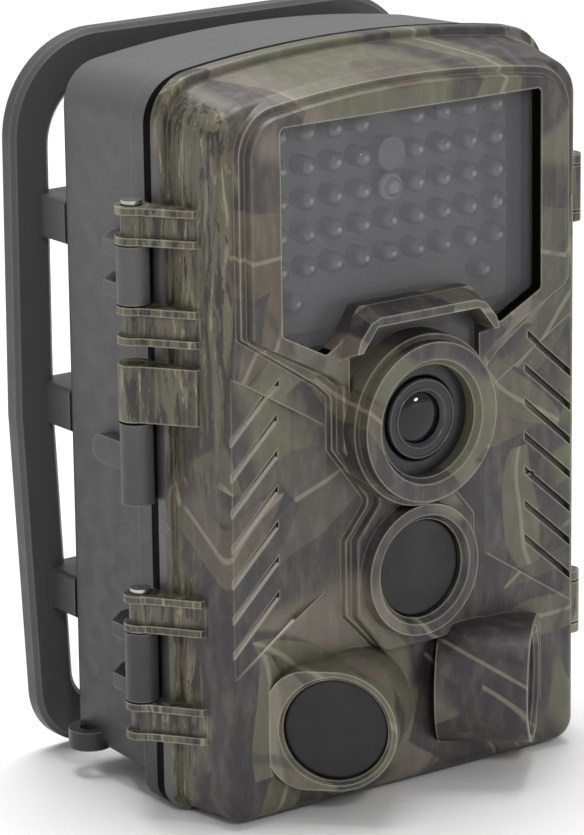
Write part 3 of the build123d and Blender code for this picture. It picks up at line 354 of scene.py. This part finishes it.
def housing():
    """The rear half's grey plastic: painted shade darkens it towards the foot and in its creases, and its edges
    show wear.
    """
    tree = Tree("grey_plastic", Specular_IOR_Level=0.45)
    x, y, z = tree.split(tree.place)
    # painted shade: the grey runs from dark at the foot to light at the top, as light falls from above
    height = tree.math("ADD", z, tree.swing(tree.noise(60.0, None, 4.0, 0.6), 0.03))
    colour = tree.mix(tree.between(height, 0.0, REAR_TOP), srgb(44, 44, 44), srgb(84, 84, 84))
    colour = tree.mix(tree.above(y, REAR_BACK, 0.003), colour, srgb(70, 70, 70))
    off_middle = tree.math("ABSOLUTE", x)
    seal = tree.product(tree.below(y, REAR_SEAL_DEPTH, 0.0002), tree.below(off_middle, REAR_SEAL_HALF, 0.0002))
    colour = tree.mix(seal, colour, SEAL)
    tree.dull(seal)
    worn, crease_shade = tree.edges(0.0005)
    # painted shade: creases darken towards black
    colour = tree.mix(tree.product(crease_shade, 0.5), colour, srgb(22, 22, 23))
    tree.colour(tree.mix(tree.product(worn, tree.inverse(seal), 0.35), colour, srgb(150, 150, 150)))
    tree.roughness(tree.between(tree.noise(260.0), 0.3, 0.7, 0.40, 0.52))
    tree.bump(tree.noise(2200.0, None, 2.0, 0.6), 0.00003, 0.7)
    return tree.material


def metal(name, dark, light, rough):
    """Plated or turned metal with fine tool marks."""
    tree = Tree(name, Metallic=1.0)
    marks = tree.noise(1.0, tree.stretched(tree.place, (60.0, 60.0, 1400.0)))
    tree.colour(tree.mix(tree.noise(300.0), dark, light))
    tree.roughness(tree.between(marks, 0.3, 0.7, rough - 0.08, rough + 0.1))
    tree.bump(marks, 0.00002, 0.5)
    return tree.material


def pane(name, tint, alpha):
    """See-through sheet: dark enough to tint what lies behind it, with a clean surface."""
    tree = Tree(name, Alpha=alpha, IOR=1.49)
    haze = tree.noise(70.0)
    tree.colour(tree.mix(haze, tint, tuple(c * 1.12 for c in tint[:3]) + (1.0,)))
    tree.roughness(tree.between(haze, 0.3, 0.7, 0.06, 0.11))
    return tree.material


def circuit_board(name, mask, trace):
    """Solder mask over copper: a faint grid of traces and pads."""
    tree = Tree(name, Specular_IOR_Level=0.5)
    x, _, z = tree.split(tree.place)
    grid = tree.add("ShaderNodeCombineXYZ", {0: x, 1: z}).outputs[0]
    colours = {"Color1": mask, "Color2": mask, "Mortar": trace}
    brick = tree.add("ShaderNodeTexBrick", {"Vector": grid, "Scale": 110.0, "Mortar Size": 0.05, **colours})
    tree.colour(tree.mix(tree.noise(120.0), brick.outputs["Color"], mask))
    tree.roughness(tree.between(tree.noise(500.0), 0.3, 0.7, 0.58, 0.68))
    tree.bump(brick.outputs["Fac"], 0.00002, 0.3)
    return tree.material


def resin():
    """Clear epoxy lamp domes, milky enough to catch the light."""
    tree = Tree("clear_resin", IOR=1.55, Coat_Weight=1.0, Coat_Roughness=0.03, Coat_IOR=2.0)
    tree.colour(tree.mix(tree.noise(900.0), srgb(128, 128, 130), srgb(150, 150, 152)))
    tree.roughness(tree.between(tree.noise(700.0), 0.3, 0.7, 0.08, 0.14))
    return tree.material


def lamp_chip():
    """The pale unlit chip at the tip of each lamp."""
    tree = Tree("lamp_chip", Coat_Weight=1.0)
    tree.colour(tree.mix(tree.noise(1200.0), srgb(214, 214, 216), srgb(244, 244, 246)))
    tree.roughness(tree.between(tree.noise(900.0), 0.3, 0.7, 0.15, 0.25))
    return tree.material


def coated_glass(name, tint, sheen):
    """Lens glass with a violet coating that shows near its edge."""
    tree = Tree(name, IOR=1.3, Coat_Weight=0.3, Coat_Roughness=0.02)
    facing = tree.add("ShaderNodeLayerWeight", {"Blend": 0.35}).outputs["Facing"]
    tree.colour(tree.mix(facing, tint, sheen))
    tree.roughness(tree.between(tree.noise(400.0), 0.3, 0.7, 0.03, 0.07))
    return tree.material


def make_materials():
    return {
        "camo_plastic": camouflage(),
        "grey_plastic": housing(),
        "inner_plastic": moulded("inner_plastic", srgb(46, 46, 48), srgb(56, 56, 58), 0.5),
        "black_plastic": moulded("black_plastic", srgb(22, 22, 23), srgb(28, 28, 29), 0.36, 1600.0, FAINT),
        "smoked_pane": pane("smoked_pane", srgb(96, 96, 98), 0.34),
        "clear_lens": coated_glass("clear_lens", srgb(16, 16, 17), srgb(30, 28, 38)),
        "clear_resin": resin(),
        "filter_glass": pane("filter_glass", srgb(120, 190, 200), 0.5),
        "pir_film": moulded("pir_film", srgb(25, 25, 26), srgb(29, 29, 30), 0.55, 900.0, 0.00001),
        "board": circuit_board("board", srgb(44, 58, 48), srgb(66, 84, 66)),
        "led_board": circuit_board("led_board", srgb(162, 162, 164), srgb(155, 155, 157)),
        "key_rubber": moulded("key_rubber", srgb(30, 30, 31), srgb(38, 38, 39), 0.62),
        "steel": metal("steel", srgb(176, 174, 168), srgb(206, 204, 198), 0.28),
        "brass": metal("brass", srgb(196, 160, 88), srgb(222, 190, 118), 0.26),
        "sensor_face": coated_glass("sensor_face", srgb(112, 108, 120), srgb(134, 128, 144)),
        "cell_wrap": moulded("cell_wrap", srgb(70, 74, 82), srgb(84, 88, 96), 0.34),
        "lamp_chip": lamp_chip(),
        "ring_plastic": moulded("ring_plastic", srgb(58, 58, 59), srgb(70, 70, 71), 0.3, 1600.0, FAINT),
        "lamp_frame": moulded("lamp_frame", srgb(114, 114, 116), srgb(122, 122, 124), 0.66, 90.0, 0.0),
        "bond": moulded("bond", srgb(176, 176, 178), srgb(214, 214, 216), 0.2, 900.0, 0.00001),
        "light_sensor": moulded(
            "light_sensor", srgb(150, 146, 154), srgb(160, 156, 164), 0.3, 1600.0, 0.000004
        ),
        "card_plastic": moulded("card_plastic", srgb(38, 44, 62), srgb(46, 52, 70), 0.4),
    }


# ---------------------------------------------------------------- added pieces
def new_piece(name, mesh, material, body):
    piece = bpy.data.objects.new(name, mesh)
    bpy.context.scene.collection.objects.link(piece)
    mesh.materials.append(material)
    mesh.polygons.foreach_set("use_smooth", [True] * len(mesh.polygons))
    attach(piece, body)
    return piece


def front_centre(low, high):
    """Middle of a box's front face."""
    return Vector(((low.x + high.x) / 2, low.y, (low.z + high.z) / 2))


def turned(profile, centre, steps):
    """Rings of vertices round an axis along Y, from (radius, depth before the centre) pairs in millimetres."""
    points, faces = [], []
    for radius, front in profile:
        for step in range(steps):
            angle = 2 * pi * step / steps
            points.append(centre + MM * Vector((radius * cos(angle), -front, radius * sin(angle))))
    for ring in range(len(profile) - 1):
        for step in range(steps):
            a, b = ring * steps + step, ring * steps + (step + 1) % steps
            faces.append((a, b, b + steps, a + steps))
    return points, faces


def turned_mesh(name, profiles, centres, steps=96):
    """One mesh of the same turned profiles at each centre."""
    points, faces = [], []
    for centre in centres:
        for profile in profiles:
            more, rings = turned(profile, centre, steps)
            faces += [tuple(i + len(points) for i in face) for face in rings]
            points += more
    mesh = bpy.data.meshes.new(name)
    mesh.from_pydata(points, [], faces)
    mesh.validate()
    return mesh


def lamp_centres():
    """Front of each infrared lamp's dome, from the box round all of them."""
    low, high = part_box("ir_leds")
    radius = LAMP_RADIUS * MM
    pitch = (high.x - low.x - 2 * radius) / 8
    top, middle = high.z - radius, (low.x + high.x) / 2
    rows = [(column, row) for row in range(5) for column in range(-4, 5) if column or row > 2]
    rows += [(column, 5) for column in (-3.5, 3.5)]
    return [Vector((middle + column * pitch, low.y, top - row * pitch)) for column, row in rows]


def add_lamp_chips(materials):
    """The pale chip at the tip of each lamp."""
    profile = [(0.6, -0.35), (0.5, 0.0), (0.3, 0.09), (TINY_RADIUS, 0.12)]
    mesh = turned_mesh("lamp_chips", [profile], lamp_centres(), 16)
    new_piece("lamp_chips", mesh, materials["lamp_chip"], "front_half")


def add_indicator(materials):
    """Bond ring and chip of the indicator in the lamps' middle column, just proud of its dome."""
    centre = front_centre(*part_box("status_led"))
    ring = [(2.46, -1.6), (2.44, -1.1), (2.3, -0.86), (2.1, -0.68), (1.88, -0.56), (1.8, -0.8)]
    mesh = turned_mesh("indicator_ring", [ring], [centre], 64)
    new_piece("indicator_ring", mesh, materials["bond"], "front_half")
    chip = [(1.3, -0.5), (1.16, 0.0), (0.7, 0.1), (TINY_RADIUS, 0.12)]
    mesh = turned_mesh("indicator_die", [chip], [centre], 32)
    new_piece("indicator_die", mesh, materials["bond"], "front_half")


def add_lens_rings(materials):
    """Fine stepped rings on the barrel's front, with the retaining ring round the glass."""
    centre = front_centre(*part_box("lens_barrel"))
    outer = [(7.35, -0.4), (7.35, 0.15), (7.2, 0.25), (6.95, 0.25), (6.85, -0.1)]
    inner = [(5.7, -0.1), (5.6, 0.18), (5.35, 0.2), (5.2, 0.05), (4.7, -0.8)]
    mesh = turned_mesh("lens_rings", [outer, inner], [centre])
    new_piece("lens_rings", mesh, materials["ring_plastic"], "front_half")


def add_front_glass(materials):
    """The front lens as a smooth crowned glass."""
    low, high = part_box("front_lens")
    radius, thickness = (high.x - low.x) / 2 / MM, (high.y - low.y) / MM
    crown, count = 0.9, 14
    angles = [pi / 2 * i / count for i in range(count)]
    profile = [(radius, -thickness)]
    profile += [(radius * cos(angle), crown * (sin(angle) - 1)) for angle in angles]
    profile.append((TINY_RADIUS, 0.0))
    mesh = turned_mesh("front_glass", [profile], [front_centre(low, high)])
    glass = new_piece("front_glass", mesh, materials["clear_lens"], "front_half")
    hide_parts("front_lens")


# ---------------------------------------------------------------- stage
def add_camera():
    data = bpy.data.cameras.new("view")
    data.lens = VIEW_LENS
    data.sensor_width = VIEW_SENSOR
    data.clip_end = 10.0
    camera = bpy.data.objects.new("view", data)
    bpy.context.scene.collection.objects.link(camera)
    turn = (
        Matrix.Rotation(radians(VIEW_AZIMUTH), 4, "Z")
        @ Matrix.Rotation(radians(90 - VIEW_ELEVATION), 4, "X")
        @ Matrix.Rotation(radians(VIEW_ROLL), 4, "Z")
    )
    back = turn.to_3x3() @ Vector((0, 0, 1))
    camera.matrix_world = Matrix.Translation(VIEW_TARGET + back * VIEW_DISTANCE) @ turn
    bpy.context.scene.camera = camera


def add_light(name, place, size, power, shape="SQUARE"):
    """Area light aimed at the middle of the case."""
    data = bpy.data.lights.new(name, "AREA")
    data.shape = shape
    data.size = size
    data.energy = power
    lamp = bpy.data.objects.new(name, data)
    bpy.context.scene.collection.objects.link(lamp)
    lamp.location = place
    lamp.rotation_euler = (CASE_MIDDLE - Vector(place)).to_track_quat("-Z", "Y").to_euler()


def add_stage():
    mesh = bpy.data.meshes.new("floor")
    # half width, and a hair of room under the feet, in metres
    reach, drop = 6.0, -0.0002
    corners = [(-reach, -reach, drop), (reach, -reach, drop), (reach, reach, drop), (-reach, reach, drop)]
    mesh.from_pydata(corners, [], [(0, 1, 2, 3)])
    floor = bpy.data.objects.new("floor", mesh)
    bpy.context.scene.collection.objects.link(floor)
    tree = Tree("floor", Roughness=0.9, Specular_IOR_Level=0.1)
    tree.colour(tree.mix(tree.noise(3.0), srgb(240, 240, 240), srgb(244, 244, 244)))
    mesh.materials.append(tree.material)
    world = bpy.data.worlds.new("studio")
    bpy.context.scene.world = world
    world.use_nodes = True
    background = world.node_tree.nodes["Background"]
    background.inputs["Color"].default_value = (1.0, 1.0, 1.0, 1.0)
    background.inputs["Strength"].default_value = 0.5
    bpy.context.scene.view_settings.view_transform = "Standard"
    # place in metres, width in metres and power in watts
    add_light("top", (0.1, 0.25, 1.3), 0.8, 17.0)
    add_light("key", (-0.45, -1.0, 0.7), 0.12, 3.6)
    add_light("glint", (0.42, -0.66, 0.08), 0.06, 0.28, "DISK")


# ---------------------------------------------------------------- dressing the CAD nodes
def dress_nodes(materials):
    own_looks = {"led_board": "led_board", "window_gasket": "lamp_frame", "light_sensor": "light_sensor"}
    for row in frame["record"]["subparts"]:
        piece = frame["nodes"][row["node"]]
        piece.data.materials.clear()
        piece.data.materials.append(materials[own_looks.get(row["node"], row["material_slot"])])


add_camera()
add_stage()
materials = make_materials()
dress_nodes(materials)
add_lamp_chips(materials)
add_indicator(materials)
add_lens_rings(materials)
add_front_glass(materials)
